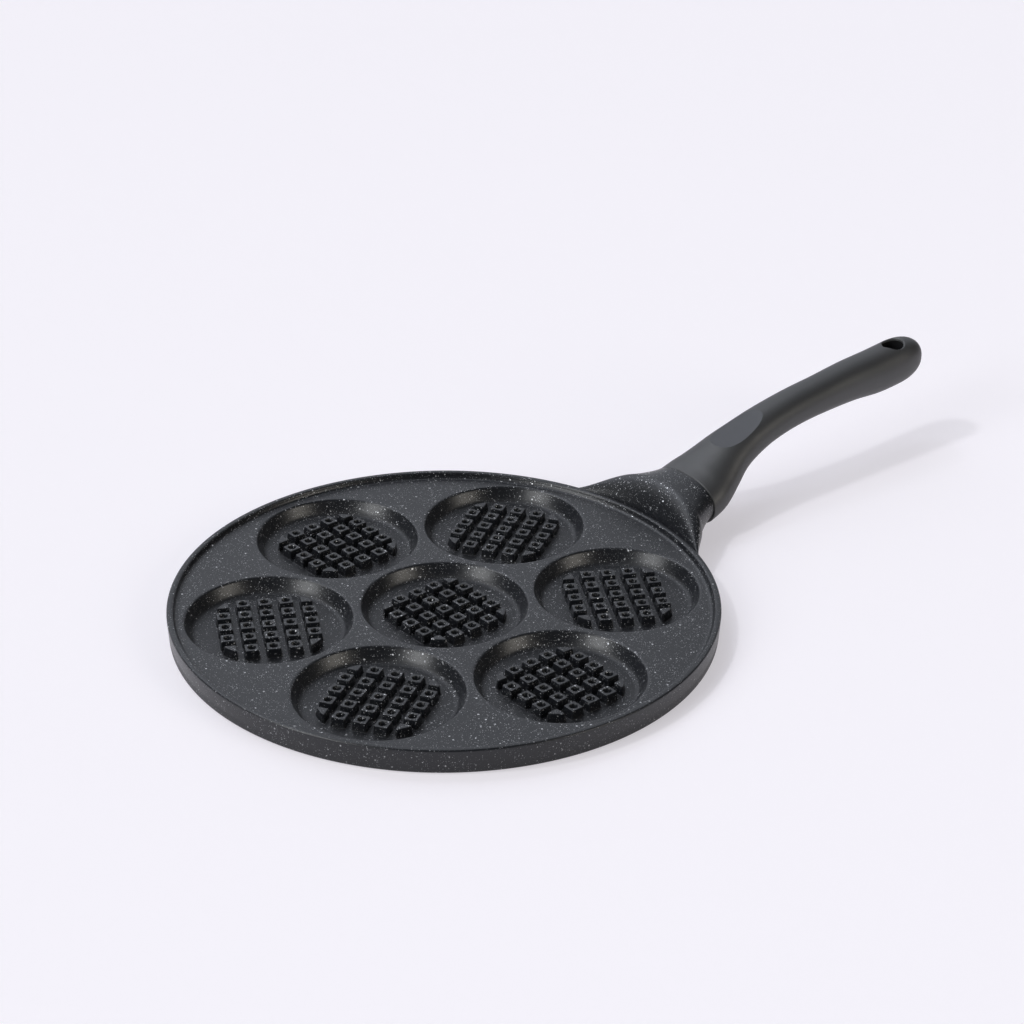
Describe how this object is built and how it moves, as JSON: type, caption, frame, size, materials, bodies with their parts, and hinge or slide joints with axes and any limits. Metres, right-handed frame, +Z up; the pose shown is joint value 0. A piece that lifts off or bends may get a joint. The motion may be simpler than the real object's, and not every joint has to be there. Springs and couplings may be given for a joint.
{
  "type": "waffle pan",
  "caption": "Round cast waffle pan with shallow cups, square pegs in each cup, and one moulded handle with a hanging hole.",
  "frame": {"origin": "middle of the centre cup's flat foot, on the surface that the pan stands on", "axes": "+X along the handle towards its tail, +Z up, +Y to the left of the handle"},
  "size_m": [0.4671, 0.2698, 0.0572],
  "materials": {
    "coated_aluminium": "charcoal non-stick coating with fine pale speckles, semi-gloss, all over the die cast aluminium",
    "moulded_phenolic": "satin black moulded phenolic",
    "plated_steel": "plain zinc plated steel"
  },
  "bodies": {
    "root": {"pan_casting": "coated_aluminium", "handle_grip": "moulded_phenolic", "handle_screw": "plated_steel", "flat_washer": "plated_steel", "spring_washer": "plated_steel"}
  },
  "joints": []
}
